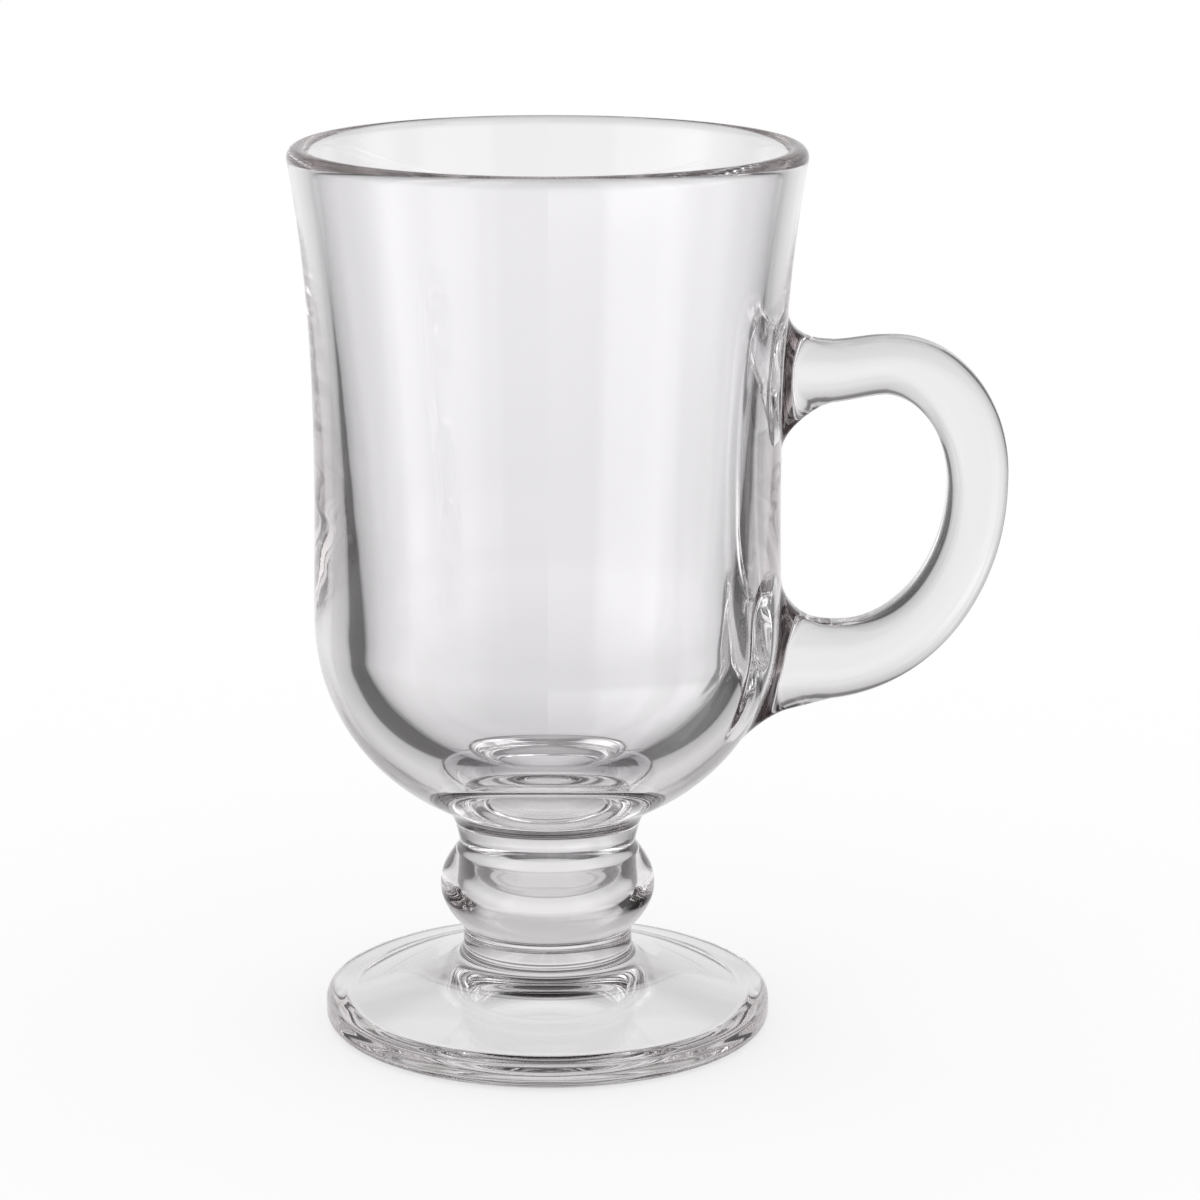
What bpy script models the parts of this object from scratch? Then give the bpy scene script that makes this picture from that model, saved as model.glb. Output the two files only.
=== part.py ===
"""Footed glass mug: a flared bowl on a knopped stem and a disc foot, with one
flat D-shaped handle. Metres, +Z up, the bowl's axis on Z, the table at Z = 0,
the handle towards +X. Four closed solids, parted by the width of a weld line.
"""

import math

import bmesh
import bpy

MM = 0.001

# Overall sizes
HEIGHT = 140.0 * MM
RIM_RADIUS = 39.9 * MM
FOOT_RADIUS = 35.35 * MM

WELD_GAP = 0.3 * MM                 # weld line between two pieces

# Foot, heights above the table
EDGE_THICKNESS = 5.6 * MM
EDGE_TOP_ROUND = 1.95 * MM
EDGE_BOTTOM_ROUND = 1.9 * MM
RING_WIDTH = 3.0 * MM               # flat ring that the glass stands on
HOLLOW_RISE = 4.2 * MM              # underside at the middle
COLLAR_RADIUS = 18.0 * MM           # where the foot's sloping top begins to turn up
TOP_RISE = 3.6 * MM                 # edge up to the collar
ANKLE_RISE = 4.0 * MM               # collar up to the stem's weld
ANKLE_PULL = 0.6                    # how tightly the ankle follows its corner

# Stem, heights above its weld to the foot
LOWER_NECK_RADIUS = 13.4 * MM
LOWER_NECK_LENGTH = 2.7 * MM        # up to the crease under the knop
KNOP_RADIUS = 17.0 * MM
KNOP_LOWER_HALF = 6.55 * MM
KNOP_UPPER_HALF = 6.6 * MM
CREASE = 0.9 * MM                   # reach of the round in each crease
NECK_RADIUS = 13.95 * MM

# Bowl, heights above its weld to the stem
NECK_WIDENING = 1.25 * MM           # weld up to the bottom
ROOT_ROUND = 2.8 * MM               # reach of the round between neck and bottom
POLE_Z = 2.2 * MM                   # pole of the rounded bottom
BELLY_RADIUS = 36.5 * MM
BELLY_Z = 36.85 * MM
BOTTOM_POWER = 2.15                 # 2 is an ellipse, more is a squarer bottom
WAIST_INSET = 0.23 * MM             # the waist is a little narrower than the belly
WAIST_RISE = 19.2 * MM              # belly up to the narrowest place
FLARE_POWER = 2.55                  # the wall flares late, just under the rim
LIP_RADIUS = 1.75 * MM              # the rim is a full round
LIP_LEAN = math.radians(10)         # how far the wall leans out under the rim
INNER_LEAN = math.radians(9.1)      # the same inside
BELLY_WALL = 7.3 * MM               # thickness of the wall over the bottom
FLOOR_Z = 10.75 * MM                # lowest point of the cavity
CAVITY_DROP = 3.8 * MM              # belly down to where the cavity rounds in
CAVITY_POWER = 2.0
INNER_FLARE = 0.5                   # how much of the outer flare the cavity follows

# Handle, seen from the side
HANDLE_REACH = 35.2 * MM            # bowl's waist to the outermost point
HANDLE_HEIGHT = 46.85 * MM          # between the middles of the two arms
SHOULDER_HEIGHT = 18.35 * MM        # upper arm down to the outermost point
LOWER_ARM_DROP = 7.7 * MM           # belly down to the lower arm
ARM_ROOT = 7.0 * MM                 # bowl's waist to where the weld's flare ends
UPPER_ARM_LENGTH = 16.2 * MM        # bowl's waist to where the bend begins
UPPER_ARM_RISE = 1.0 * MM           # from the flare's end to the bend
UPPER_ROOT_WIDTH = 9.45 * MM
UPPER_ARM_WIDTH = 8.8 * MM
UPPER_BEND_WIDTH = 9.85 * MM
SIDE_WIDTH = 9.2 * MM
LOWER_ARM_WIDTH = 12.2 * MM
LOWER_SWELL_POWER = 2.5             # the lower arm swells late, near the weld
BEND_POWER = 2.05                   # 2 is an ellipse, more is a fuller bend

# Handle, seen from the end
HANDLE_DEPTH = 10.5 * MM
HANDLE_ROUND = 3.6 * MM             # round of its four edges

# Flare of a weld: spread along the wall, reach out along the arm, and how
# steeply the arm itself widens towards the wall
WELD_BESIDE = (2.3 * MM, 2.3 * MM, 0.0)
UPPER_WELD_ABOVE = (5.0 * MM, 6.2 * MM, 0.02)
UPPER_WELD_BELOW = (3.8 * MM, 6.2 * MM, 0.52)
LOWER_WELD_ABOVE = (7.0 * MM, 6.6 * MM, 0.08)
LOWER_WELD_BELOW = (4.6 * MM, 4.6 * MM, 0.36)

# Fineness of the round stretches
TURNS = 48                          # steps round the axis
CURVE_STEPS = 9                     # rounded bottoms and walls
LIP_SIDE_STEPS = 1                  # outer side of the lip, up to its widest place
LIP_TOP_STEPS = 4                   # each half of its top
HOLLOW_STEPS = 8
KNOP_STEPS = 5
FILLET_STEPS = 5
ROUND_STEPS = 5                     # rounds of the foot's edge
WELD_STEPS = 5
ARM_STEPS = 5
BEND_STEPS = 11
ACROSS = 6                          # over the handle's outer and inner sides
CORNER = 6                          # round each of its edges
SIDE = 2                            # over each flat side
SMOOTH_ANGLE = math.radians(50)     # sharper edges than this stay crisp
FILLET_PULL = 0.7                   # how tightly the other fillets follow their corners
TINY = 0.001 * MM

GLASS_TINT = (0.93, 0.93, 0.945, 1.0)
GLASS_ROUGHNESS = 0.02
GLASS_IOR = 1.52

# Sizes that follow from the ones above
COLLAR_Z = EDGE_THICKNESS + TOP_RISE
ANKLE_Z = COLLAR_Z + ANKLE_RISE
KNOP_Z = LOWER_NECK_LENGTH + KNOP_LOWER_HALF
STEM_LENGTH = KNOP_Z + KNOP_UPPER_HALF + CREASE
NECK_Z = ANKLE_Z + STEM_LENGTH
NECK_TOP_RADIUS = NECK_RADIUS + NECK_WIDENING
BOTTOM_DEPTH = BELLY_Z - POLE_Z
WAIST_RADIUS = BELLY_RADIUS - WAIST_INSET
WAIST_Z = BELLY_Z + WAIST_RISE
LIP_CENTRE = (RIM_RADIUS - LIP_RADIUS, HEIGHT - NECK_Z - LIP_RADIUS)
WALL_TOP_Z = LIP_CENTRE[1] - LIP_RADIUS * math.sin(LIP_LEAN)
WALL_TOP_RADIUS = LIP_CENTRE[0] + LIP_RADIUS * math.cos(LIP_LEAN)
CAVITY_TOP_Z = LIP_CENTRE[1] + LIP_RADIUS * math.sin(INNER_LEAN)
CAVITY_TOP_RADIUS = LIP_CENTRE[0] - LIP_RADIUS * math.cos(INNER_LEAN)
CAVITY_RADIUS = BELLY_RADIUS - BELLY_WALL
CAVITY_Z = BELLY_Z - CAVITY_DROP
CAVITY_DEPTH = CAVITY_Z - FLOOR_Z


def ease(t):
    """From 0 to 1, level at both ends."""
    return t * t * (3 - 2 * t)


def shares(steps):
    """Even steps over 0 to 1, without the 0."""
    return [i / steps for i in range(1, steps + 1)]


def arc(centre, radius, start, end, steps):
    """Points of an arc, without its first point. Angles are from the outward direction."""
    angles = [start + (end - start) * t for t in shares(steps)]
    return [(centre[0] + radius * math.cos(a), centre[1] + radius * math.sin(a)) for a in angles]


def fillet(start, corner, end, pull=FILLET_PULL):
    """Points of a rounded corner, without its first point."""
    near = [a + (c - a) * pull for a, c in zip(start, corner)]
    far = [b + (c - b) * pull for b, c in zip(end, corner)]
    points = []
    for t in shares(FILLET_STEPS):
        weights = ((1 - t) ** 3, 3 * t * (1 - t) ** 2, 3 * t * t * (1 - t), t**3)
        ways = zip(start, near, far, end)
        points.append(tuple(sum(w * p for w, p in zip(weights, way)) for way in ways))
    return points


def flare(z):
    """How far the outside of the bowl stands out over its waist."""
    t = max(0.0, (z - WAIST_Z) / (WALL_TOP_Z - WAIST_Z))
    return (WALL_TOP_RADIUS - WAIST_RADIUS) * t**FLARE_POWER


def outer_radius(z):
    """Radius of the bowl's outside at a height between its bottom and its rim."""
    if z >= WAIST_Z:
        return WAIST_RADIUS + flare(z)
    if z >= BELLY_Z:
        return WAIST_RADIUS + (BELLY_RADIUS - WAIST_RADIUS) * ease((WAIST_Z - z) / WAIST_RISE)
    t = min(1.0, (BELLY_Z - z) / BOTTOM_DEPTH)
    return BELLY_RADIUS * math.sqrt(1 - t**BOTTOM_POWER)


def bottom_z(radius):
    """Height at which the bowl's rounded bottom has a radius."""
    return BELLY_Z - BOTTOM_DEPTH * (1 - (radius / BELLY_RADIUS) ** 2) ** (1 / BOTTOM_POWER)


def draft():
    """How much the cavity widens per height, apart from its flare."""
    widening = CAVITY_TOP_RADIUS - INNER_FLARE * flare(CAVITY_TOP_Z) - CAVITY_RADIUS
    return widening / (CAVITY_TOP_Z - CAVITY_Z)


def bowl_profile():
    """From the middle of the weld face out and up to the rim, and down the cavity to the axis."""
    weld_z = WELD_GAP / 2
    root_z = bottom_z(NECK_TOP_RADIUS)
    slant = NECK_WIDENING / root_z
    neck = (NECK_RADIUS + slant * weld_z, weld_z)
    root_start = (NECK_TOP_RADIUS - slant * ROOT_ROUND, root_z - ROOT_ROUND)
    root_end = (NECK_TOP_RADIUS + ROOT_ROUND, bottom_z(NECK_TOP_RADIUS + ROOT_ROUND))
    points = [(0.0, weld_z), neck, root_start]
    points += fillet(root_start, (NECK_TOP_RADIUS, root_z), root_end)
    sink = (BELLY_Z - root_end[1]) / BOTTOM_DEPTH
    for t in shares(CURVE_STEPS):
        z = BELLY_Z - BOTTOM_DEPTH * math.sin(math.asin(sink) * (1 - t))
        points.append((outer_radius(z), z))
    middle_z = (BELLY_Z + WAIST_Z) / 2
    points += [(outer_radius(z), z) for z in (middle_z, WAIST_Z)]
    for t in shares(CURVE_STEPS):
        z = WAIST_Z + (WALL_TOP_Z - WAIST_Z) * t
        points.append((outer_radius(z), z))
    points += arc(LIP_CENTRE, LIP_RADIUS, -LIP_LEAN, 0, LIP_SIDE_STEPS)
    points += arc(LIP_CENTRE, LIP_RADIUS, 0, math.pi / 2, LIP_TOP_STEPS)
    points += arc(LIP_CENTRE, LIP_RADIUS, math.pi / 2, math.pi - INNER_LEAN, LIP_TOP_STEPS)
    slope = draft()
    for t in shares(CURVE_STEPS):
        z = CAVITY_TOP_Z + (CAVITY_Z - CAVITY_TOP_Z) * t
        points.append((CAVITY_RADIUS + slope * (z - CAVITY_Z) + INNER_FLARE * flare(z), z))
    for t in shares(CURVE_STEPS):
        fall = math.sin(math.pi / 2 * t)
        radius = CAVITY_RADIUS * math.sqrt(1 - fall**CAVITY_POWER)
        radius -= slope * CAVITY_DEPTH * fall * (1 - fall)
        points.append((radius, CAVITY_Z - CAVITY_DEPTH * fall))
    return points


def knop(side_radius, half, share):
    """A point on the knop, from its widest place (0) to the crease at a neck (1)."""
    return (KNOP_RADIUS - (KNOP_RADIUS - side_radius) * share**2, half * share)


def stem_profile():
    """From the middle of the lower weld face out and up over the knop to the upper one."""
    low, high = WELD_GAP / 2, STEM_LENGTH - WELD_GAP / 2
    lower_end = 1 - CREASE / KNOP_LOWER_HALF
    upper_end = 1 - CREASE / KNOP_UPPER_HALF
    points = [(0.0, low), (LOWER_NECK_RADIUS, low), (LOWER_NECK_RADIUS, LOWER_NECK_LENGTH - CREASE)]
    radius, drop = knop(LOWER_NECK_RADIUS, KNOP_LOWER_HALF, lower_end)
    points += fillet(points[-1], (LOWER_NECK_RADIUS, LOWER_NECK_LENGTH), (radius, KNOP_Z - drop))
    for t in shares(KNOP_STEPS):
        radius, drop = knop(LOWER_NECK_RADIUS, KNOP_LOWER_HALF, lower_end * (1 - t))
        points.append((radius, KNOP_Z - drop))
    for t in shares(KNOP_STEPS):
        radius, rise = knop(NECK_RADIUS, KNOP_UPPER_HALF, upper_end * t)
        points.append((radius, KNOP_Z + rise))
    points += fillet(points[-1], (NECK_RADIUS, KNOP_Z + KNOP_UPPER_HALF), (NECK_RADIUS, high))
    return points + [(0.0, high)]


def foot_profile():
    """From the middle of the hollow out to the edge, and in over the top to the weld face."""
    ring_outer = FOOT_RADIUS - EDGE_BOTTOM_ROUND
    ring_inner = ring_outer - RING_WIDTH
    points = [(0.0, HOLLOW_RISE)]
    points += [(ring_inner * t, HOLLOW_RISE * (1 - t * t)) for t in shares(HOLLOW_STEPS)]
    points.append((ring_outer, 0.0))
    points += arc((ring_outer, EDGE_BOTTOM_ROUND), EDGE_BOTTOM_ROUND, -math.pi / 2, 0, ROUND_STEPS)
    round_centre = (FOOT_RADIUS - EDGE_TOP_ROUND, EDGE_THICKNESS - EDGE_TOP_ROUND)
    lean = math.atan2(TOP_RISE, round_centre[0] - COLLAR_RADIUS)
    points.append((FOOT_RADIUS, round_centre[1]))
    points += arc(round_centre, EDGE_TOP_ROUND, 0, math.pi / 2 - lean, ROUND_STEPS)
    collar = (COLLAR_RADIUS, COLLAR_Z)
    corner = (LOWER_NECK_RADIUS, COLLAR_Z + math.tan(lean) * (COLLAR_RADIUS - LOWER_NECK_RADIUS))
    weld_z = ANKLE_Z - WELD_GAP / 2
    points.append(collar)
    points += fillet(collar, corner, (LOWER_NECK_RADIUS, weld_z), ANKLE_PULL)
    return points + [(0.0, weld_z)]


def turned(profile):
    """A solid of revolution about Z, from a profile that starts and ends on the axis."""
    shape = bmesh.new()
    verts = [shape.verts.new((radius, 0.0, z)) for radius, z in profile]
    edges = [shape.edges.new(pair) for pair in zip(verts, verts[1:])]
    bmesh.ops.spin(shape, geom=verts + edges, axis=(0, 0, 1), angle=2 * math.pi, steps=TURNS)
    bmesh.ops.remove_doubles(shape, verts=shape.verts, dist=TINY)
    return shape


def bar_section(width):
    """Outline of the bar as (sideways, outward) points, each with its normal.
    The outer side comes first, then one flat side, the inner side and the other flat side."""
    half_depth, half_width = HANDLE_DEPTH / 2, width / 2
    flat, high = half_depth - HANDLE_ROUND, half_width - HANDLE_ROUND
    outer = [(flat * (2 * i / ACROSS - 1), half_width, 0.0, 1.0) for i in range(ACROSS + 1)]
    corner = []
    for t in shares(CORNER):
        c, s = math.sin(math.pi / 2 * t), math.cos(math.pi / 2 * t)
        corner.append((flat + HANDLE_ROUND * c, high + HANDLE_ROUND * s, c, s))
    level = [(half_depth, high * (1 - 2 * t), 1.0, 0.0) for t in shares(SIDE)[:-1]]
    right = corner + level + [(y, -w, ny, -nw) for y, w, ny, nw in reversed(corner)]
    inner = [(y, -w, ny, -nw) for y, w, ny, nw in reversed(outer)]
    left = [(-y, w, -ny, nw) for y, w, ny, nw in reversed(right)]
    return outer + right + inner + left


def bend(t):
    """A place on a quarter bend of unit size, as two shares that run from 1 to 0 and from 0 to 1,
    and the same for its normal."""
    c, s = math.cos(math.pi / 2 * t), math.sin(math.pi / 2 * t)
    place, normal = 2 / BEND_POWER, 2 - 2 / BEND_POWER
    return c**place, s**place, c**normal, s**normal


def bar_stations():
    """Middle of the bar from the upper arm round to the lower one, as (x, z, heading, width)."""
    low_z = BELLY_Z - LOWER_ARM_DROP
    top_z = low_z + HANDLE_HEIGHT
    side_z = top_z - SHOULDER_HEIGHT
    drop = side_z - low_z
    root_x = WAIST_RADIUS + ARM_ROOT
    bend_x = WAIST_RADIUS + UPPER_ARM_LENGTH
    side_x = WAIST_RADIUS + HANDLE_REACH - SIDE_WIDTH / 2
    stations = []
    for t in [0.0] + shares(ARM_STEPS):
        heading = math.atan2(UPPER_ARM_RISE * 6 * t * (1 - t), bend_x - root_x)
        width = UPPER_ARM_WIDTH + (UPPER_ROOT_WIDTH - UPPER_ARM_WIDTH) * (1 - t) ** 3
        z = top_z - UPPER_ARM_RISE * (1 - ease(t))
        stations.append((root_x + (bend_x - root_x) * t, z, heading, width))
    for t in shares(BEND_STEPS):
        up, out, normal_up, normal_out = bend(t)
        heading = math.atan2(-normal_out / (side_x - bend_x), normal_up / SHOULDER_HEIGHT)
        even = UPPER_ARM_WIDTH + (SIDE_WIDTH - UPPER_ARM_WIDTH) * t
        bulge = UPPER_BEND_WIDTH - (UPPER_ARM_WIDTH + SIDE_WIDTH) / 2
        width = even + bulge * 4 * t * (1 - t)
        stations.append((bend_x + (side_x - bend_x) * out, side_z + SHOULDER_HEIGHT * up, heading, width))
    for t in shares(BEND_STEPS):
        out, down, normal_out, normal_down = bend(t)
        heading = math.atan2(-normal_out / (side_x - root_x), -normal_down / drop)
        width = SIDE_WIDTH + (LOWER_ARM_WIDTH - SIDE_WIDTH) * t**LOWER_SWELL_POWER
        stations.append((root_x + (side_x - root_x) * out, side_z - drop * down, heading, width))
    return stations


def wall_x(y, z):
    """How far out the weld face of the handle lies."""
    return math.sqrt((outer_radius(z) + WELD_GAP) ** 2 - y * y)


def weld_loops(station, above, below):
    """Outlines of one flared end, from the wall out to the arm."""
    x, z, heading, width = station
    upright = math.cos(heading)
    loops = []
    for t in [0.0] + shares(WELD_STEPS):
        spread = 1 - math.sin(math.pi / 2 * t)
        stand_off = 1 - math.cos(math.pi / 2 * t)
        loop = []
        for y, w, ny, nw in bar_section(width):
            w, nw = w * upright, nw * upright
            vertical = above if nw > 0 else below
            along, out, widen = (a * nw * nw + b * ny * ny for a, b in zip(vertical, WELD_BESIDE))
            wide_y = y + ny * along * spread
            flared_z = z + w + nw * along * spread
            loop_x = wall_x(wide_y, flared_z) + out * stand_off
            loop_z = flared_z + nw * widen * (x - loop_x)
            loop.append((wall_x(wide_y, loop_z) + out * stand_off, wide_y, loop_z))
        loops.append(loop)
    return loops


def handle_shape():
    """The bar lofted through its stations, with a flared end bent to the wall at each arm."""
    stations = bar_stations()
    loops = weld_loops(stations[0], UPPER_WELD_ABOVE, UPPER_WELD_BELOW)
    for x, z, heading, width in stations:
        out_x, out_z = -math.sin(heading), math.cos(heading)
        loops.append([(x + out_x * w, y, z + out_z * w) for y, w, _, _ in bar_section(width)])
    loops += reversed(weld_loops(stations[-1], LOWER_WELD_ABOVE, LOWER_WELD_BELOW))

    shape = bmesh.new()
    rings = [[shape.verts.new(point) for point in loop] for loop in loops]
    for ring, following in zip(rings, rings[1:]):
        for j in range(len(ring)):
            shape.faces.new((ring[j - 1], ring[j], following[j], following[j - 1]))
    for ring in (rings[0], rings[-1]):
        add_weld_face(shape, ring)
    return shape


def add_weld_face(shape, ring):
    """Closes one end with rows that run across the bar and lie on the bowl's wall."""
    half = len(ring) // 2
    right = ring[ACROSS + 1 : half]
    left = ring[:half - 1 + ACROSS + 1 : -1][: len(right)]
    rows = [ring[: ACROSS + 1]]
    for a, b in zip(left, right):
        row = [a]
        for t in shares(ACROSS)[:-1]:
            y, z = a.co.y + (b.co.y - a.co.y) * t, a.co.z
            row.append(shape.verts.new((wall_x(y, z), y, z)))
        rows.append(row + [b])
    rows.append(ring[half : half + ACROSS + 1][::-1])
    for row, following in zip(rows, rows[1:]):
        for i in range(ACROSS):
            shape.faces.new((row[i], row[i + 1], following[i + 1], following[i]))


def glass(name):
    material = bpy.data.materials.new(name)
    material.use_nodes = True
    shader = material.node_tree.nodes["Principled BSDF"]
    shader.inputs["Base Color"].default_value = GLASS_TINT
    shader.inputs["Roughness"].default_value = GLASS_ROUGHNESS
    shader.inputs["IOR"].default_value = GLASS_IOR
    shader.inputs["Transmission Weight"].default_value = 1.0
    return material


def add(name, shape, parent, height):
    """One named piece, placed over its parent."""
    bmesh.ops.recalc_face_normals(shape, faces=shape.faces)
    mesh = bpy.data.meshes.new(name)
    shape.to_mesh(mesh)
    shape.free()
    mesh.shade_smooth()
    mesh.set_sharp_from_angle(angle=SMOOTH_ANGLE)
    mesh.materials.append(glass(name + "_glass"))
    piece = bpy.data.objects.new(name, mesh)
    piece.parent = parent
    piece.location = (0.0, 0.0, height)
    bpy.context.scene.collection.objects.link(piece)
    return piece


for old in list(bpy.data.objects):
    bpy.data.objects.remove(old, do_unlink=True)

mug = bpy.data.objects.new("mug", None)
bpy.context.scene.collection.objects.link(mug)

foot = add("foot", turned(foot_profile()), mug, 0.0)
stem = add("stem", turned(stem_profile()), foot, ANKLE_Z)
bowl = add("bowl", turned(bowl_profile()), stem, STEM_LENGTH)
add("handle", handle_shape(), bowl, 0.0)
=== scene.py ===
"""Looks of the footed glass mug: four clear glass pieces, finer than the CAD ones and
fused along their weld faces, on a pale floor in soft studio light."""

import math

import bpy
import numpy as np
from mathutils.geometry import delaunay_2d_cdt
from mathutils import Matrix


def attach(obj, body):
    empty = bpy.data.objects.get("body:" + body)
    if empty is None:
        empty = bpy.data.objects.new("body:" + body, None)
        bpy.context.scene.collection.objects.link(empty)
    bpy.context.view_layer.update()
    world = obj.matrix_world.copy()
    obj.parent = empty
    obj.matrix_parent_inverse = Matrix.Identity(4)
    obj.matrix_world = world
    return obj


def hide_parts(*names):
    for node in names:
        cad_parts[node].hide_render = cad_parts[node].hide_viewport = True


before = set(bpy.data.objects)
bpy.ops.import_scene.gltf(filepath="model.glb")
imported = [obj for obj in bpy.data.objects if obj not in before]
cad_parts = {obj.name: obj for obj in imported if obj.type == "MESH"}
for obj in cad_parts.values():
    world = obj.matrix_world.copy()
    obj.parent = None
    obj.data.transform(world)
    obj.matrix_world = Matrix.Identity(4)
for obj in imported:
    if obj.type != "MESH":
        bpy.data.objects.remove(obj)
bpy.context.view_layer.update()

MM = 0.001

# Sizes, as in the CAD part
HEIGHT = 140.0 * MM
RIM_RADIUS = 39.9 * MM
FOOT_RADIUS = 35.35 * MM
EDGE_THICKNESS = 5.6 * MM
EDGE_TOP_ROUND = 1.95 * MM
EDGE_BOTTOM_ROUND = 1.9 * MM
RING_WIDTH = 3.0 * MM
HOLLOW_RISE = 4.2 * MM
COLLAR_RADIUS = 18.0 * MM
TOP_RISE = 3.6 * MM
ANKLE_RISE = 4.0 * MM
ANKLE_PULL = 0.6
LOWER_NECK_RADIUS = 13.4 * MM
LOWER_NECK_LENGTH = 2.7 * MM
KNOP_RADIUS = 17.0 * MM
KNOP_LOWER_HALF = 6.55 * MM
KNOP_UPPER_HALF = 6.6 * MM
CREASE = 0.9 * MM
NECK_RADIUS = 13.95 * MM
NECK_TOP_RADIUS = 15.2 * MM
POLE_Z = 2.2 * MM
BELLY_RADIUS = 36.5 * MM
BELLY_Z = 36.85 * MM
BOTTOM_POWER = 2.15
ROOT_ROUND = 2.8 * MM
WAIST_RADIUS = 36.27 * MM
WAIST_RISE = 19.2 * MM
FLARE_POWER = 2.55
LIP_RADIUS = 1.75 * MM
LIP_LEAN = math.radians(10)
INNER_LEAN = math.radians(9.1)
BELLY_WALL = 7.3 * MM
FLOOR_Z = 10.75 * MM
CAVITY_DROP = 3.8 * MM
CAVITY_POWER = 2.0
INNER_FLARE = 0.5
HANDLE_REACH = 35.17 * MM           # 0.03 mm less, since the CAD's facets cut the peak off
HANDLE_HEIGHT = 46.85 * MM
SHOULDER_HEIGHT = 18.35 * MM
LOWER_ARM_DROP = 7.7 * MM
ARM_ROOT = 7.0 * MM
UPPER_ARM_LENGTH = 16.2 * MM
UPPER_ARM_RISE = 1.0 * MM
UPPER_ROOT_WIDTH = 9.45 * MM
UPPER_ARM_WIDTH = 8.8 * MM
UPPER_BEND_WIDTH = 9.85 * MM
SIDE_WIDTH = 9.2 * MM
LOWER_ARM_WIDTH = 12.2 * MM
LOWER_SWELL_POWER = 2.5
BEND_POWER = 2.05
HANDLE_DEPTH = 10.5 * MM
HANDLE_ROUND = 3.6 * MM
# Each weld's spread along the wall, its stand-off from the wall, and how it widens outward
WELD_BESIDE = (2.3 * MM, 2.3 * MM, 0.0)
UPPER_WELD_ABOVE = (5.0 * MM, 6.2 * MM, 0.02)
UPPER_WELD_BELOW = (3.8 * MM, 6.2 * MM, 0.52)
LOWER_WELD_ABOVE = (7.0 * MM, 6.6 * MM, 0.08)
LOWER_WELD_BELOW = (4.6 * MM, 4.6 * MM, 0.36)
FILLET_PULL = 0.7

# Places that follow from the sizes. Stem and bowl heights count from their own lower ends.
COLLAR_Z = EDGE_THICKNESS + TOP_RISE
ANKLE_Z = COLLAR_Z + ANKLE_RISE
KNOP_Z = LOWER_NECK_LENGTH + KNOP_LOWER_HALF
STEM_LENGTH = KNOP_Z + KNOP_UPPER_HALF + CREASE
NECK_Z = ANKLE_Z + STEM_LENGTH
BOTTOM_DEPTH = BELLY_Z - POLE_Z
WAIST_Z = BELLY_Z + WAIST_RISE
LIP_CENTRE = (RIM_RADIUS - LIP_RADIUS, HEIGHT - NECK_Z - LIP_RADIUS)
WALL_TOP_Z = LIP_CENTRE[1] - LIP_RADIUS * math.sin(LIP_LEAN)
WALL_TOP_RADIUS = LIP_CENTRE[0] + LIP_RADIUS * math.cos(LIP_LEAN)
CAVITY_TOP_Z = LIP_CENTRE[1] + LIP_RADIUS * math.sin(INNER_LEAN)
CAVITY_TOP_RADIUS = LIP_CENTRE[0] - LIP_RADIUS * math.cos(INNER_LEAN)
CAVITY_RADIUS = BELLY_RADIUS - BELLY_WALL
CAVITY_Z = BELLY_Z - CAVITY_DROP
CAVITY_DEPTH = CAVITY_Z - FLOOR_Z

# Fineness: steps round the axis, along the profiles, and round and along the handle
TURNS = 192
NECK_STEPS = 8
ROOT_STEPS = 14
BOTTOM_STEPS = 44
WALL_STEPS = 66
LIP_STEPS = 30
CAVITY_WALL_STEPS = 50
CAVITY_FLOOR_STEPS = 48
STRAIGHT_STEPS = 4
CREASE_STEPS = 12
KNOP_STEPS = 32
HOLLOW_STEPS = 30
EDGE_ROUND_STEPS = 16
FOOT_TOP_STEPS = 30
ANKLE_STEPS = 40
ACROSS_STEPS = 14
CORNER_STEPS = 12
SIDE_STEPS = 12
WELD_STEPS = 16
ARM_STEPS = 20
BEND_STEPS = 48
TURN_LENGTH = 2 * math.pi / TURNS * BELLY_RADIUS
TINY = 0.001 * MM
ON_AXIS = 1e-6 * MM

# The bowl's wall is meshed anew in a patch round each end of the handle
PATCH_TURNS = 2                     # clear of the end at each side
PATCH_ROWS_BELOW = 4
PATCH_ROWS_ABOVE = 3
CLEAR_OF_WELD = 0.45 * MM           # the wall's own points stay this far from the outline
KNIT_TOLERANCE = 1e-6               # in millimetres

# Glass, with noise scales in features per metre
GLASS_IOR = 1.52
WAVE_SCALE = 90.0
WAVE_HEIGHT = 0.02 * MM             # gentle waves of pressed glass
GRAIN_SCALE = 700.0
GRAIN_HEIGHT = 0.0006 * MM          # fire-polished skin
HAZE_SCALE = 160.0
HAZE_FROM = (0.55, 0.75)            # only the noise's peaks are hazy
HAZE = (0.0, 0.012)                 # least and most roughness
TINT_SCALE = 35.0
TINTS = ((0.98, 0.974, 0.984, 1.0), (0.99, 0.986, 0.992, 1.0))
NOISE_DETAIL = 1.0
ABSORPTION = 2.0                    # per metre of glass
ABSORPTION_TINT = (0.2, 0.04, 0.06, 1.0)

# Floor
FLOOR_HALF = 3.0
FLOOR_DROP = 0.2 * MM               # keeps the floor clear of the standing ring
FLOOR_WHITENESS = 0.7               # share that is plain white, the rest takes the shadow
FLOOR_ROUGHNESS = 0.9
WHITE = (1.0, 1.0, 1.0, 1.0)

# Camera, at the photograph's angle
LENS = 122.71
SENSOR_WIDTH = 36.0
CAMERA_SHIFT = 0.04367
CAMERA_PLACE = (0.0, -0.62336, 0.21657)
CAMERA_DIP = 0.233263               # radians below level

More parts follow.
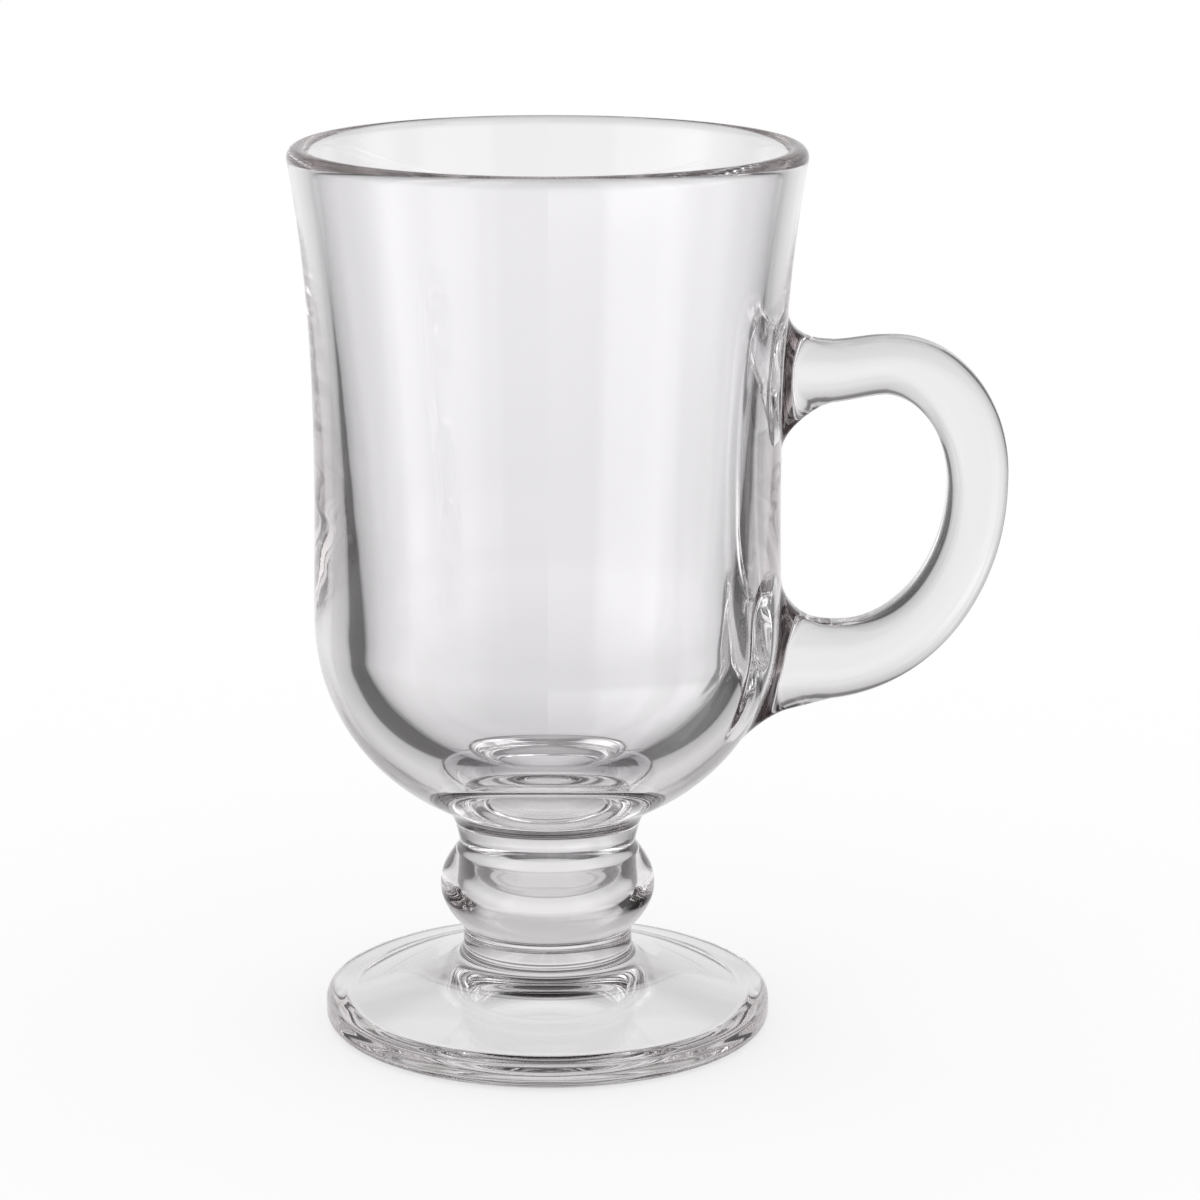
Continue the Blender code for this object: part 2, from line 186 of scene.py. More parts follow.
# Light: a pale sweep behind, a soft box at each side, and dark gaps between them. Each lamp
# is a curve of (degrees, level) over the bearing, 0 straight behind and 90 at the right,
# multiplied by a second curve over the height above level.
SWEEP = (
    (-61, 0.0), (-57, 0.02), (-51.5, 0.04), (-48.5, 0.42),
    (-45, 0.58), (-38, 0.66), (-25, 0.79), (-16, 0.9),
    (16, 0.9), (25, 0.76), (36, 0.63), (44, 0.54),
    (47.5, 0.38), (50.5, 0.04), (57, 0.02), (61, 0.0),
)
SWEEP_HEIGHT = (
    (-85, 0.22), (-66, 0.34), (-50, 0.68), (-40, 0.75), (-25, 0.79), (-17, 0.85),
    (-12, 0.88), (-8, 0.9), (-3, 0.89), (6, 0.78), (14, 0.7), (19, 0.62),
    (24, 0.18), (30, 0.14), (35, 0.6), (42, 0.62), (48, 0.1), (56, 0.0),
)
# Multiplies the sweep's bearings over the height: narrower low down, wider above level
NARROWING = ((-45, 1.6), (-22, 1.2), (-9, 1.0), (0, 1.0), (14, 0.65))
LEFT_BOX = (
    (-180, 0.55), (-148, 0.55), (-144, 1.0), (-125, 1.15), (-106, 1.5),
    (-98, 1.5), (-92, 0.8), (-78, 0.38), (-65, 0.0),
)
LEFT_BOX_HEIGHT = ((-55, 0.0), (-42, 0.5), (-30, 0.95), (8, 1.0), (36, 0.4), (60, 0.0))
RIGHT_BOX = (
    (66, 0.0), (77, 0.42), (84, 1.0), (94, 1.1), (104, 0.6),
    (113, 0.55), (117, 1.08), (151, 1.0), (155, 0.55), (180, 0.55),
)
RIGHT_BOX_HEIGHT = (
    (-60, 0.0), (-52, 0.8), (-44, 1.6), (-28, 2.3),
    (-22, 1.0), (8, 0.85), (36, 0.3), (60, 0.0),
)
# The dim rest of the room, over the height alone
ROOM = (
    (-85, 0.35), (-72, 0.24), (-60, 0.12), (-48, 0.08), (-25, 0.08),
    (-8, 0.11), (10, 0.09), (35, 0.05), (60, 0.02),
)
ROOM_TINT = (1.0, 0.97, 1.0)        # up to the horizon
CEILING_TINT = (1.0, 0.93, 0.86)
CEILING_FROM = 21.6                 # degrees above level
FULL_TURN, HALF_TURN = 360, 180

# Light runs a long way inside the glass
MAX_BOUNCES = 96
GLOSSY_BOUNCES = 64
CLEAR_BOUNCES = 64


def ease(t):
    return t * t * (3 - 2 * t)


def shares(steps):
    """Even shares of a stretch, up to 1 and without 0."""
    return [i / steps for i in range(1, steps + 1)]


def arc(centre, radius, start, end, steps):
    angles = [start + (end - start) * t for t in shares(steps)]
    return [(centre[0] + radius * math.cos(a), centre[1] + radius * math.sin(a)) for a in angles]


def line(start, end, steps):
    return [tuple(a + (b - a) * t for a, b in zip(start, end)) for t in shares(steps)]


def fillet(start, corner, end, steps, pull=FILLET_PULL):
    """A smooth curve that cuts a corner."""
    near = [a + (c - a) * pull for a, c in zip(start, corner)]
    far = [b + (c - b) * pull for b, c in zip(end, corner)]
    points = []
    for t in shares(steps):
        weights = ((1 - t) ** 3, 3 * t * (1 - t) ** 2, 3 * t * t * (1 - t), t**3)
        ways = zip(start, near, far, end)
        points.append(tuple(sum(w * p for w, p in zip(weights, way)) for way in ways))
    return points


def flare(z):
    t = max(0.0, (z - WAIST_Z) / (WALL_TOP_Z - WAIST_Z))
    return (WALL_TOP_RADIUS - WAIST_RADIUS) * t**FLARE_POWER


def outer_radius(z):
    """The bowl's outer radius at a height above the neck."""
    if z >= WAIST_Z:
        return WAIST_RADIUS + flare(z)
    if z >= BELLY_Z:
        return WAIST_RADIUS + (BELLY_RADIUS - WAIST_RADIUS) * ease((WAIST_Z - z) / WAIST_RISE)
    t = min(1.0, (BELLY_Z - z) / BOTTOM_DEPTH)
    return BELLY_RADIUS * math.sqrt(1 - t**BOTTOM_POWER)


def bottom_z(radius):
    """Height at which the rounded bottom has a radius."""
    return BELLY_Z - BOTTOM_DEPTH * (1 - (radius / BELLY_RADIUS) ** 2) ** (1 / BOTTOM_POWER)


def bowl_outside():
    """From the neck up to the foot of the lip, as (radius, height) points."""
    root_z = bottom_z(NECK_TOP_RADIUS)
    start_radius = NECK_RADIUS + (NECK_TOP_RADIUS - NECK_RADIUS) * (1 - ROOT_ROUND / root_z)
    end_radius = NECK_TOP_RADIUS + ROOT_ROUND
    end = (end_radius, bottom_z(end_radius))
    points = [(NECK_RADIUS, 0.0)]
    points += line(points[0], (start_radius, root_z - ROOT_ROUND), NECK_STEPS)
    points += fillet(points[-1], (NECK_TOP_RADIUS, root_z), end, ROOT_STEPS)
    sink = (BELLY_Z - end[1]) / BOTTOM_DEPTH
    for t in shares(BOTTOM_STEPS):
        z = BELLY_Z - BOTTOM_DEPTH * math.sin(math.asin(sink) * (1 - t))
        points.append((outer_radius(z), z))
    for t in shares(WALL_STEPS):
        z = BELLY_Z + (WALL_TOP_Z - BELLY_Z) * t
        points.append((outer_radius(z), z))
    return points


def bowl_rest():
    """Round the lip and down the cavity to the axis."""
    draft = CAVITY_TOP_RADIUS - INNER_FLARE * flare(CAVITY_TOP_Z) - CAVITY_RADIUS
    slope = draft / (CAVITY_TOP_Z - CAVITY_Z)
    points = arc(LIP_CENTRE, LIP_RADIUS, -LIP_LEAN, math.pi - INNER_LEAN, LIP_STEPS)
    for t in shares(CAVITY_WALL_STEPS):
        z = CAVITY_TOP_Z + (CAVITY_Z - CAVITY_TOP_Z) * t
        points.append((CAVITY_RADIUS + slope * (z - CAVITY_Z) + INNER_FLARE * flare(z), z))
    for t in shares(CAVITY_FLOOR_STEPS):
        fall = math.sin(math.pi / 2 * t)
        radius = CAVITY_RADIUS * math.sqrt(1 - fall**CAVITY_POWER)
        radius -= slope * CAVITY_DEPTH * fall * (1 - fall)
        points.append((radius, CAVITY_Z - CAVITY_DEPTH * fall))
    return points


def knop(side_radius, half, share):
    """A point on the knop, from its waist (0) to the crease at the neck (1)."""
    return (KNOP_RADIUS - (KNOP_RADIUS - side_radius) * share**2, half * share)


def stem_outside():
    lower_end = 1 - CREASE / KNOP_LOWER_HALF
    upper_end = 1 - CREASE / KNOP_UPPER_HALF
    points = [(LOWER_NECK_RADIUS, 0.0)]
    neck_end = (LOWER_NECK_RADIUS, LOWER_NECK_LENGTH - CREASE)
    points += line(points[0], neck_end, STRAIGHT_STEPS)
    radius, drop = knop(LOWER_NECK_RADIUS, KNOP_LOWER_HALF, lower_end)
    corner = (LOWER_NECK_RADIUS, LOWER_NECK_LENGTH)
    points += fillet(points[-1], corner, (radius, KNOP_Z - drop), CREASE_STEPS)
    for t in shares(KNOP_STEPS):
        radius, drop = knop(LOWER_NECK_RADIUS, KNOP_LOWER_HALF, lower_end * (1 - t))
        points.append((radius, KNOP_Z - drop))
    for t in shares(KNOP_STEPS):
        radius, rise = knop(NECK_RADIUS, KNOP_UPPER_HALF, upper_end * t)
        points.append((radius, KNOP_Z + rise))
    corner = (NECK_RADIUS, KNOP_Z + KNOP_UPPER_HALF)
    points += fillet(points[-1], corner, (NECK_RADIUS, STEM_LENGTH), CREASE_STEPS)
    return points


def foot_outside():
    ring_outer = FOOT_RADIUS - EDGE_BOTTOM_ROUND
    ring_inner = ring_outer - RING_WIDTH
    points = [(0.0, HOLLOW_RISE)]
    points += [(ring_inner * t, HOLLOW_RISE * (1 - t * t)) for t in shares(HOLLOW_STEPS)]
    points += line((ring_inner, 0.0), (ring_outer, 0.0), STRAIGHT_STEPS)
    round_centre = (ring_outer, EDGE_BOTTOM_ROUND)
    points += arc(round_centre, EDGE_BOTTOM_ROUND, -math.pi / 2, 0, EDGE_ROUND_STEPS)
    round_centre = (FOOT_RADIUS - EDGE_TOP_ROUND, EDGE_THICKNESS - EDGE_TOP_ROUND)
    points += line(points[-1], (FOOT_RADIUS, round_centre[1]), STRAIGHT_STEPS)
    lean = math.atan2(TOP_RISE, round_centre[0] - COLLAR_RADIUS)
    points += arc(round_centre, EDGE_TOP_ROUND, 0, math.pi / 2 - lean, EDGE_ROUND_STEPS)
    points += line(points[-1], (COLLAR_RADIUS, COLLAR_Z), FOOT_TOP_STEPS)
    corner_z = COLLAR_Z + math.tan(lean) * (COLLAR_RADIUS - LOWER_NECK_RADIUS)
    corner, end = (LOWER_NECK_RADIUS, corner_z), (LOWER_NECK_RADIUS, ANKLE_Z)
    points += fillet(points[-1], corner, end, ANKLE_STEPS, ANKLE_PULL)
    return points


def profile_normals(points):
    """Outward normals of a profile whose solid lies on the left as it runs."""
    step = np.diff(np.array(points), axis=0)
    size = np.linalg.norm(step, axis=1, keepdims=True)
    along = step / size
    between = along[:-1] * size[1:] + along[1:] * size[:-1]
    between /= np.linalg.norm(between, axis=1, keepdims=True)
    tangent = np.vstack([2 * along[:1] - between[:1], between, 2 * along[-1:] - between[-1:]])
    tangent /= np.linalg.norm(tangent, axis=1, keepdims=True)
    return np.stack([tangent[:, 1], -tangent[:, 0]], axis=1)


class Shell:
    """Points and faces of one piece, with the corners' normals and which faces are welds."""

    def __init__(self):
        self.points, self.faces, self.normals, self.welds = [], [], [], []

    def add_points(self, points):
        """Returns the new points' numbers."""
        start = len(self.points)
        self.points.extend(tuple(float(c) for c in p) for p in points)
        return range(start, len(self.points))

    def add_face(self, face, normals, weld=False):
        self.faces.append(tuple(face))
        self.normals.extend(tuple(n) for n in normals)
        self.welds.append(float(weld))


def turn(shell, points, lift, skip=None):
    """Turns a profile about Z into the shell. Returns each ring's points and normals."""
    angles = [2 * math.pi * k / TURNS for k in range(TURNS)]
    ways = [(math.cos(a), math.sin(a)) for a in angles]
    rings, ring_normals = [], []
    for (radius, z), (out, up) in zip(points, profile_normals(points)):
        if radius < ON_AXIS:
            rings.append(list(shell.add_points([(0.0, 0.0, z + lift)])) * TURNS)
            ring_normals.append([(0.0, 0.0, math.copysign(1.0, up))] * TURNS)
        else:
            ring = [(radius * c, radius * s, z + lift) for c, s in ways]
            rings.append(list(shell.add_points(ring)))
            ring_normals.append([(out * c, out * s, up) for c, s in ways])
    for i in range(len(points) - 1):
        for k in range(TURNS):
            if skip and skip(i, k):
                continue
            n = (k + 1) % TURNS
            face, face_normals = [], []
            for a, b in ((i, k), (i, n), (i + 1, n), (i + 1, k)):
                if rings[a][b] not in face:
                    face.append(rings[a][b])
                    face_normals.append(ring_normals[a][b])
            shell.add_face(face, face_normals)
    return rings, ring_normals


def weld_disc(shell, ring, z, up):
    """Closes a turned neck with a face that light passes straight through."""
    centre = shell.add_points([(0.0, 0.0, z)])[0]
    normal = (0.0, 0.0, 1.0 if up else -1.0)
    for k in range(TURNS):
        a, b = ring[k], ring[(k + 1) % TURNS]
        shell.add_face((centre, a, b) if up else (centre, b, a), [normal] * 3, weld=True)


def bar_section(width):
    """The handle's rounded section: places and normals across (y) and outward (w)."""
    half_depth, half_width = HANDLE_DEPTH / 2, width / 2
    flat, high = half_depth - HANDLE_ROUND, half_width - HANDLE_ROUND
    steps = range(ACROSS_STEPS + 1)
    outer = [(flat * (2 * i / ACROSS_STEPS - 1), half_width, 0.0, 1.0) for i in steps]
    corner = []
    for t in shares(CORNER_STEPS):
        c, s = math.sin(math.pi / 2 * t), math.cos(math.pi / 2 * t)
        corner.append((flat + HANDLE_ROUND * c, high + HANDLE_ROUND * s, c, s))
    level = [(half_depth, high * (1 - 2 * t), 1.0, 0.0) for t in shares(SIDE_STEPS)[:-1]]
    right = corner + level + [(y, -w, ny, -nw) for y, w, ny, nw in reversed(corner)]
    inner = [(y, -w, ny, -nw) for y, w, ny, nw in reversed(outer)]
    left = [(-y, w, -ny, nw) for y, w, ny, nw in reversed(right)]
    return outer + right + inner + left


def bend(t):
    """A place on a quarter of a rounded bend, and the bend's normal there."""
    c, s = math.cos(math.pi / 2 * t), math.sin(math.pi / 2 * t)
    place, normal = 2 / BEND_POWER, 2 - 2 / BEND_POWER
    return c**place, s**place, c**normal, s**normal


def bar_stations():
    """The handle's middle line from the upper arm to the lower, as x, z, heading and width."""
    low_z = BELLY_Z - LOWER_ARM_DROP
    top_z = low_z + HANDLE_HEIGHT
    side_z = top_z - SHOULDER_HEIGHT
    drop = side_z - low_z
    root_x = WAIST_RADIUS + ARM_ROOT
    bend_x = WAIST_RADIUS + UPPER_ARM_LENGTH
    side_x = WAIST_RADIUS + HANDLE_REACH - SIDE_WIDTH / 2
    stations = []
    for t in [0.0] + shares(ARM_STEPS):
        heading = math.atan2(UPPER_ARM_RISE * 6 * t * (1 - t), bend_x - root_x)
        width = UPPER_ARM_WIDTH + (UPPER_ROOT_WIDTH - UPPER_ARM_WIDTH) * (1 - t) ** 3
        z = top_z - UPPER_ARM_RISE * (1 - ease(t))
        stations.append((root_x + (bend_x - root_x) * t, z, heading, width))
    bulge = UPPER_BEND_WIDTH - (UPPER_ARM_WIDTH + SIDE_WIDTH) / 2
    for t in shares(BEND_STEPS):
        up, out, normal_up, normal_out = bend(t)
        heading = math.atan2(-normal_out / (side_x - bend_x), normal_up / SHOULDER_HEIGHT)
        even = UPPER_ARM_WIDTH + (SIDE_WIDTH - UPPER_ARM_WIDTH) * t
        width = even + bulge * 4 * t * (1 - t)
        x, z = bend_x + (side_x - bend_x) * out, side_z + SHOULDER_HEIGHT * up
        stations.append((x, z, heading, width))
    for t in shares(BEND_STEPS):
        out, down, normal_out, normal_down = bend(t)
        heading = math.atan2(-normal_out / (side_x - root_x), -normal_down / drop)
        width = SIDE_WIDTH + (LOWER_ARM_WIDTH - SIDE_WIDTH) * t**LOWER_SWELL_POWER
        stations.append((root_x + (side_x - root_x) * out, side_z - drop * down, heading, width))
    return stations


def wall_x(y, z):
    return math.sqrt(outer_radius(z) ** 2 - y * y)


def wall_normal(y, z):
    radius = outer_radius(z)
    slope = (outer_radius(z + TINY) - outer_radius(z - TINY)) / (2 * TINY)
    size = math.hypot(1.0, slope)
    return (wall_x(y, z) / radius / size, y / radius / size, -slope / size)


def weld_loops(station, above, below):
    """Loops that flare from the wall out to the bar, above, below and beside it."""
    x, z, heading, width = station
    upright = math.cos(heading)
    loops = []
    for t in [0.0] + shares(WELD_STEPS):
        spread = 1 - math.sin(math.pi / 2 * t)
        stand_off = 1 - math.cos(math.pi / 2 * t)
        loop = []
        for y, w, ny, nw in bar_section(width):
            w, nw = w * upright, nw * upright
            vertical = above if nw > 0 else below
            along, out, widen = (a * nw * nw + b * ny * ny for a, b in zip(vertical, WELD_BESIDE))
            wide_y = y + ny * along * spread
            flared_z = z + w + nw * along * spread
            loop_x = wall_x(wide_y, flared_z) + out * stand_off
            loop_z = flared_z + nw * widen * (x - loop_x)
            loop.append((wall_x(wide_y, loop_z) + out * stand_off, wide_y, loop_z))
        loops.append(loop)
    return loops


def handle_loops():
    """Loops along the handle, from its upper end on the wall to its lower one."""
    stations = bar_stations()
    loops = weld_loops(stations[0], UPPER_WELD_ABOVE, UPPER_WELD_BELOW)
    for x, z, heading, width in stations[1:-1]:
        out_x, out_z = -math.sin(heading), math.cos(heading)
        loops.append([(x + out_x * w, y, z + out_z * w) for y, w, _, _ in bar_section(width)])
    loops += list(reversed(weld_loops(stations[-1], LOWER_WELD_ABOVE, LOWER_WELD_BELOW)))
    return loops


def skin_handle(handle, loops):
    """Joins the loops into the handle's skin. Returns the points of each end loop."""
    grid = np.array(loops)
    along = np.gradient(grid, axis=0)
    across = np.roll(grid, -1, axis=1) - np.roll(grid, 1, axis=1)
    normals = np.cross(along, across)
    normals /= np.linalg.norm(normals, axis=2, keepdims=True)
    for end in (0, -1):
        normals[end] = [wall_normal(y, z) for _, y, z in loops[end]]
    rows = [list(handle.add_points(loop)) for loop in grid + (0.0, 0.0, NECK_Z)]
    size = len(rows[0])
    for i in range(len(rows) - 1):
        for j in range(size):
            n = (j + 1) % size
            corners = ((i, j), (i + 1, j), (i + 1, n), (i, n))
            handle.add_face([rows[a][b] for a, b in corners], [normals[a][b] for a, b in corners])
    return rows[0], rows[-1]


def inside(outline, u, v):
    """Whether a place lies in a closed outline."""
    hit = False
    for (a, b), (c, d) in zip(outline, outline[1:] + outline[:1]):
        if (b > v) != (d > v) and u < a + (c - a) * (v - b) / (d - b):
            hit = not hit
    return hit


class Patch:
    """The bowl's wall round one end of the handle, unrolled.

    A place there is the distance round the belly and the distance up along the wall.
    """

    def __init__(self, end_loop, outside):
        steps = np.diff(np.array(outside), axis=0)
        self.lengths = np.concatenate([[0], np.cumsum(np.hypot(*steps.T))])
        heights = [z for _, z in outside]
        self.end_loop = end_loop
        self.outline = []
        for x, y, z in end_loop:
            v = float(np.interp(z, heights, self.lengths))
            self.outline.append((math.atan2(y, x) * BELLY_RADIUS, v))
        us, vs = zip(*self.outline)
        self.half = math.ceil(max(us) / TURN_LENGTH) + PATCH_TURNS
        self.low = int(np.searchsorted(self.lengths, min(vs))) - PATCH_ROWS_BELOW
        self.high = int(np.searchsorted(self.lengths, max(vs))) + PATCH_ROWS_ABOVE

    def covers(self, row, k):
        around = (k + TURNS // 2) % TURNS - TURNS // 2
        return -self.half <= around < self.half and self.low <= row < self.high

    def wall_points(self):
        """The wall's own points that stay: row, turn and place."""
        for row in range(self.low, self.high + 1):
            for around in range(-self.half, self.half + 1):
                u, v = around * TURN_LENGTH, float(self.lengths[row])
                at_edge = row in (self.low, self.high) or abs(around) == self.half
                near = min(math.hypot(u - a, v - b) for a, b in self.outline)
                if at_edge or near > CLEAR_OF_WELD:
                    yield row, around % TURNS, (u, v)

    def knit(self, bowl, rings, ring_normals, handle, handle_end):
        """Fills the patch on the bowl, and closes the handle's end with the same faces."""
        flats, corners, normals, twins = [], [], [], []
        for row, k, place in self.wall_points():
            flats.append(place)
            corners.append(rings[row][k])
            normals.append(ring_normals[row][k])
            twins.append(None)
        first, size = len(flats), len(self.outline)
        flats += self.outline
        corners += bowl.add_points([(x, y, z + NECK_Z) for x, y, z in self.end_loop])
        normals += [wall_normal(y, z) for _, y, z in self.end_loop]
        twins += handle_end
        bounds = [(first + j, first + (j + 1) % size) for j in range(size)]
        in_mm = [(u / MM, v / MM) for u, v in flats]
        result = delaunay_2d_cdt(in_mm, bounds, [], 0, KNIT_TOLERANCE)
        triangles, origins = result[2], result[3]
        for triangle in triangles:
            face = [origins[c][0] for c in triangle]
            u, v = (sum(flats[c][axis] for c in face) / 3 for axis in (0, 1))
            weld = inside(self.outline, u, v)
            bowl.add_face([corners[c] for c in face], [normals[c] for c in face], weld)
            if weld:
                for c in face:
                    if twins[c] is None:
                        twins[c] = handle.add_points([bowl.points[corners[c]]])[0]
                face.reverse()
                back = [tuple(-n for n in normals[c]) for c in face]
                handle.add_face([twins[c] for c in face], back, weld)


def build_bowl_and_handle():
    outside = bowl_outside()
    loops = handle_loops()
    patches = [Patch(loop, outside) for loop in (loops[0], loops[-1])]

    def skip(row, k):
        return any(patch.covers(row, k) for patch in patches)

    bowl, handle = Shell(), Shell()
    rings, ring_normals = turn(bowl, outside + bowl_rest(), NECK_Z, skip)
    weld_disc(bowl, rings[0], NECK_Z, up=False)
    for patch, handle_end in zip(patches, skin_handle(handle, loops)):
        patch.knit(bowl, rings, ring_normals, handle, handle_end)
    return bowl, handle


def build_stem():
    stem = Shell()
    rings, _ = turn(stem, stem_outside(), ANKLE_Z)
    weld_disc(stem, rings[0], ANKLE_Z, up=False)
    weld_disc(stem, rings[-1], NECK_Z, up=True)
    return stem


def build_foot():
    foot = Shell()
    rings, _ = turn(foot, foot_outside(), 0.0)
    weld_disc(foot, rings[-1], ANKLE_Z, up=True)
    return foot


def glass_material():
    """Clear pressed glass: waves, a fine skin, patches of faint haze, a faint drift of tint,
    and a body that darkens long paths. Weld faces let light straight through."""
    material = bpy.data.materials.new("clear_glass")
    material.use_nodes = True
    nodes, links = material.node_tree.nodes, material.node_tree.links
    shader = nodes["Principled BSDF"]
    shader.inputs["IOR"].default_value = GLASS_IOR
    shader.inputs["Transmission Weight"].default_value = 1.0
    place = nodes.new("ShaderNodeTexCoord")

    def noise(scale):
        made = nodes.new("ShaderNodeTexNoise")
        made.inputs["Scale"].default_value = scale
        made.inputs["Detail"].default_value = NOISE_DETAIL
        links.new(place.outputs["Object"], made.inputs["Vector"])
        return made.outputs["Fac"]

    def bump(pattern, height):
        made = nodes.new("ShaderNodeBump")
        made.inputs["Distance"].default_value = height
        links.new(pattern, made.inputs["Height"])
        return made

    waves = bump(noise(WAVE_SCALE), WAVE_HEIGHT)
    grain = bump(noise(GRAIN_SCALE), GRAIN_HEIGHT)
    links.new(waves.outputs["Normal"], grain.inputs["Normal"])
    links.new(grain.outputs["Normal"], shader.inputs["Normal"])
    haze = nodes.new("ShaderNodeMapRange")
    for ends, values in (("From", HAZE_FROM), ("To", HAZE)):
        for end, value in zip(("Min", "Max"), values):
            haze.inputs[f"{ends} {end}"].default_value = value
    links.new(noise(HAZE_SCALE), haze.inputs["Value"])
    links.new(haze.outputs["Result"], shader.inputs["Roughness"])
    tint = nodes.new("ShaderNodeValToRGB")
    for element, colour in zip(tint.color_ramp.elements, TINTS):
        element.color = colour
    links.new(noise(TINT_SCALE), tint.inputs["Fac"])
    links.new(tint.outputs["Color"], shader.inputs["Base Color"])

    weld = nodes.new("ShaderNodeAttribute")
    weld.attribute_name = "weld"
    clear = nodes.new("ShaderNodeBsdfTransparent")
    either = nodes.new("ShaderNodeMixShader")
    links.new(weld.outputs["Fac"], either.inputs["Fac"])
    links.new(shader.outputs["BSDF"], either.inputs[1])
    links.new(clear.outputs["BSDF"], either.inputs[2])
    links.new(either.outputs["Shader"], nodes["Material Output"].inputs["Surface"])
    body = nodes.new("ShaderNodeVolumeAbsorption")
    body.inputs["Color"].default_value = ABSORPTION_TINT
    body.inputs["Density"].default_value = ABSORPTION
    links.new(body.outputs["Volume"], nodes["Material Output"].inputs["Volume"])
    return material


def add_piece(name, shell, node, material):
    """Makes a piece of a shell, without the points that its faces leave out."""
    used = sorted({corner for face in shell.faces for corner in face})
    number = {old: new for new, old in enumerate(used)}
    faces = [[number[corner] for corner in face] for face in shell.faces]
    mesh = bpy.data.meshes.new(name)
    mesh.from_pydata([shell.points[old] for old in used], [], faces)
    mesh.materials.append(material)
    mesh.attributes.new("weld", "FLOAT", "FACE").data.foreach_set("value", shell.welds)
    mesh.shade_smooth()
    mesh.normals_split_custom_set(shell.normals)
    piece = bpy.data.objects.new(name, mesh)
    bpy.context.scene.collection.objects.link(piece)
    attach(piece, "root")
    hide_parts(node)


def add_floor():
    """A pale floor that shows a soft shadow. The glass sees the sweep instead of the floor."""
    far = FLOOR_HALF
    mesh = bpy.data.meshes.new("floor")
    corners = [(-far, -far, 0), (far, -far, 0), (far, far, 0), (-far, far, 0)]
    mesh.from_pydata(corners, [], [(0, 1, 2, 3)])
    floor = bpy.data.objects.new("floor", mesh)
    floor.location.z = -FLOOR_DROP
    floor.visible_transmission = False
    floor.visible_glossy = False
    bpy.context.scene.collection.objects.link(floor)
    material = bpy.data.materials.new("pale_floor")
    material.use_nodes = True
    nodes, links = material.node_tree.nodes, material.node_tree.links
    shader = nodes["Principled BSDF"]
    shader.inputs["Base Color"].default_value = WHITE
    shader.inputs["Roughness"].default_value = FLOOR_ROUGHNESS
    shader.inputs["Specular IOR Level"].default_value = 0.0
    plain = nodes.new("ShaderNodeEmission")
    either = nodes.new("ShaderNodeMixShader")
    either.inputs["Fac"].default_value = FLOOR_WHITENESS
    links.new(shader.outputs["BSDF"], either.inputs[1])
    links.new(plain.outputs["Emission"], either.inputs[2])
    links.new(either.outputs["Shader"], nodes["Material Output"].inputs["Surface"])
    mesh.materials.append(material)


def add_camera():
    data = bpy.data.cameras.new("camera")
    data.lens = LENS
    data.sensor_width = SENSOR_WIDTH
    data.shift_x = CAMERA_SHIFT
    camera = bpy.data.objects.new("camera", data)
    camera.location = CAMERA_PLACE
    camera.rotation_euler = (math.pi / 2 - CAMERA_DIP, 0.0, 0.0)
    bpy.context.scene.collection.objects.link(camera)
    bpy.context.scene.camera = camera


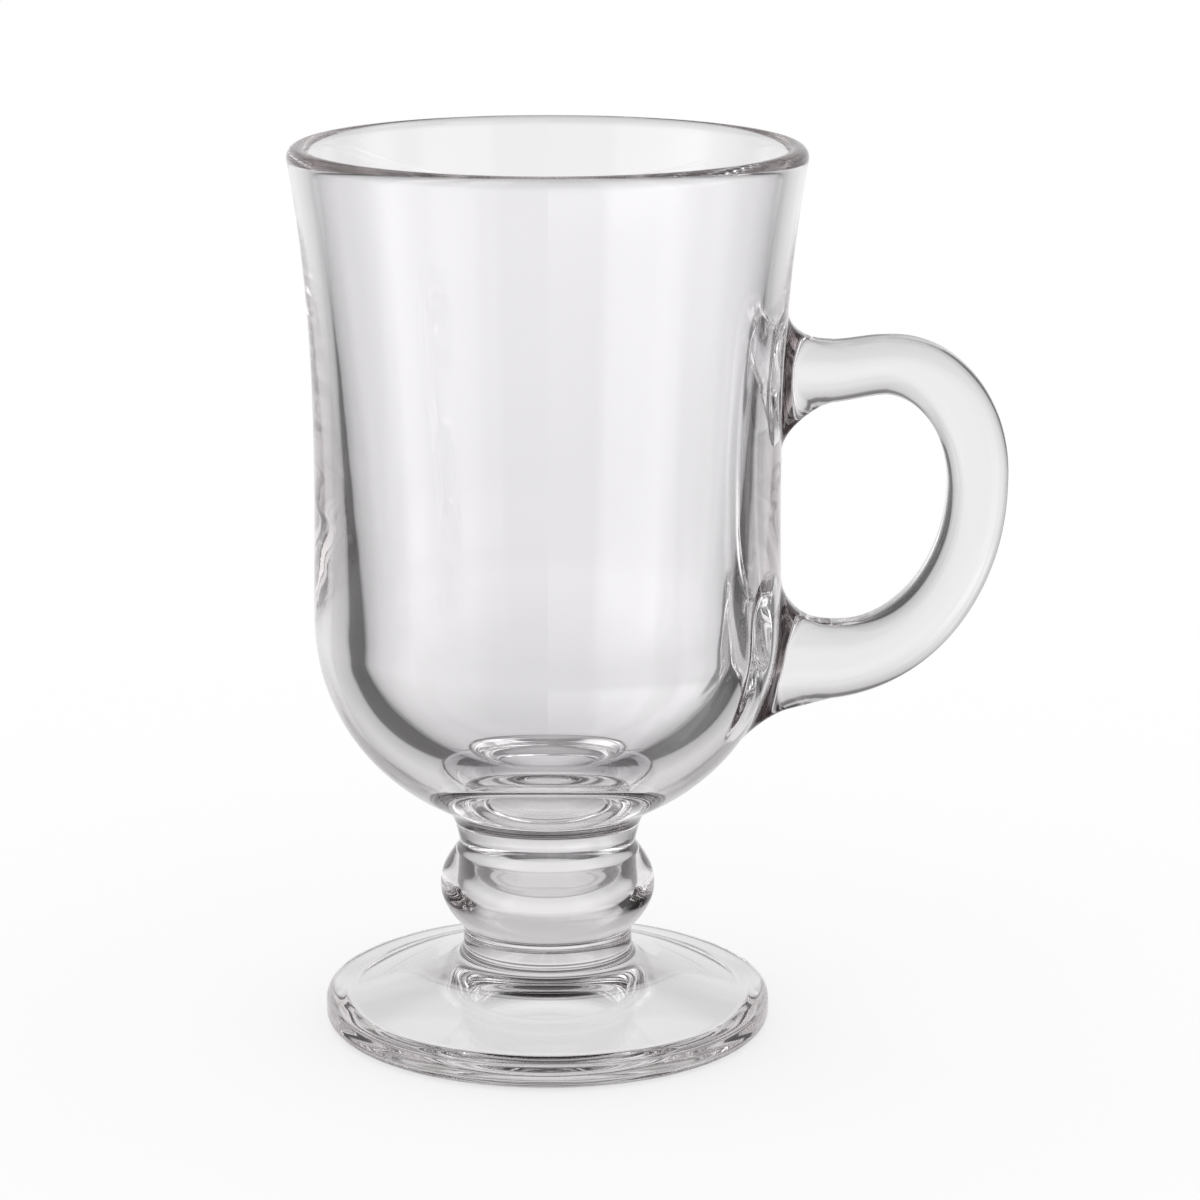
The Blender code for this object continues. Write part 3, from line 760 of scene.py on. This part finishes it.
def add_light():
    """The studio as a world. Glass shows only against something darker, so its reflections
    and what is seen through it are this studio, whose sweep is about as white straight
    behind the glass as the plain white that the camera and the floor see."""
    world = bpy.data.worlds.new("studio")
    bpy.context.scene.world = world
    world.cycles.sampling_method = "NONE"
    world.use_nodes = True
    nodes, links = world.node_tree.nodes, world.node_tree.links

    def maths(operation, *values):
        made = nodes.new("ShaderNodeMath")
        made.operation = operation
        for socket, value in zip(made.inputs, values):
            if isinstance(value, bpy.types.NodeSocket):
                links.new(value, socket)
            else:
                socket.default_value = value
        return made.outputs[0]

    def ramp(share, stops, span, interpolation):
        """Colours over an angle, from (degrees, colour) stops, with 0 in the middle of span."""
        made = nodes.new("ShaderNodeValToRGB")
        made.color_ramp.interpolation = interpolation
        elements = made.color_ramp.elements
        while len(elements) < len(stops):
            elements.new(0.5)
        for element, (degrees, colour) in zip(elements, stops):
            element.position = degrees / span + 0.5
            element.color = (*colour, 1.0)
        links.new(share, made.inputs["Fac"])
        return made.outputs["Color"]

    def curve(share, stops, span):
        greys = [(degrees, (level, level, level)) for degrees, level in stops]
        return ramp(share, greys, span, "EASE")

    place = nodes.new("ShaderNodeTexCoord")
    way = nodes.new("ShaderNodeSeparateXYZ")
    links.new(place.outputs["Generated"], way.inputs["Vector"])
    bearing = maths("ARCTAN2", way.outputs["X"], way.outputs["Y"])
    height = maths("ARCSINE", way.outputs["Z"])
    # From radians to shares of a ramp, 0 to 1
    turned = maths("MULTIPLY_ADD", bearing, 0.5 / math.pi, 0.5)
    raised = maths("MULTIPLY_ADD", height, 1 / math.pi, 0.5)
    narrowed = maths("MULTIPLY", bearing, curve(raised, NARROWING, HALF_TURN))
    swept = maths("MULTIPLY_ADD", narrowed, 0.5 / math.pi, 0.5)

    lamps = 0.0
    for share, over_bearing, over_height in (
        (swept, SWEEP, SWEEP_HEIGHT),
        (turned, LEFT_BOX, LEFT_BOX_HEIGHT),
        (turned, RIGHT_BOX, RIGHT_BOX_HEIGHT),
    ):
        round_about = curve(share, over_bearing, FULL_TURN)
        lamp = maths("MULTIPLY", round_about, curve(raised, over_height, HALF_TURN))
        lamps = maths("ADD", lamps, lamp)
    tints = ((0.0, ROOM_TINT), (CEILING_FROM, CEILING_TINT))
    studio = nodes.new("ShaderNodeVectorMath")
    studio.operation = "MULTIPLY_ADD"
    links.new(curve(raised, ROOM, HALF_TURN), studio.inputs[0])
    links.new(ramp(raised, tints, HALF_TURN, "LINEAR"), studio.inputs[1])
    links.new(lamps, studio.inputs[2])

    path = nodes.new("ShaderNodeLightPath")
    plain = maths("MAXIMUM", path.outputs["Is Camera Ray"], path.outputs["Is Diffuse Ray"])
    seen = nodes.new("ShaderNodeMix")
    seen.data_type = "RGBA"
    factor, studio_side, plain_side = seen.inputs[0], seen.inputs[6], seen.inputs[7]
    plain_side.default_value = WHITE
    links.new(plain, factor)
    links.new(studio.outputs["Vector"], studio_side)
    links.new(seen.outputs[2], nodes["Background"].inputs["Color"])


bowl_shell, handle_shell = build_bowl_and_handle()
glass = glass_material()
add_piece("bowl_glass", bowl_shell, "bowl", glass)
add_piece("handle_glass", handle_shell, "handle", glass)
add_piece("stem_glass", build_stem(), "stem", glass)
add_piece("foot_glass", build_foot(), "foot", glass)
add_floor()
add_camera()
add_light()

scene = bpy.context.scene
scene.view_settings.view_transform = "Standard"
scene.cycles.max_bounces = MAX_BOUNCES
scene.cycles.transmission_bounces = MAX_BOUNCES
scene.cycles.glossy_bounces = GLOSSY_BOUNCES
scene.cycles.transparent_max_bounces = CLEAR_BOUNCES
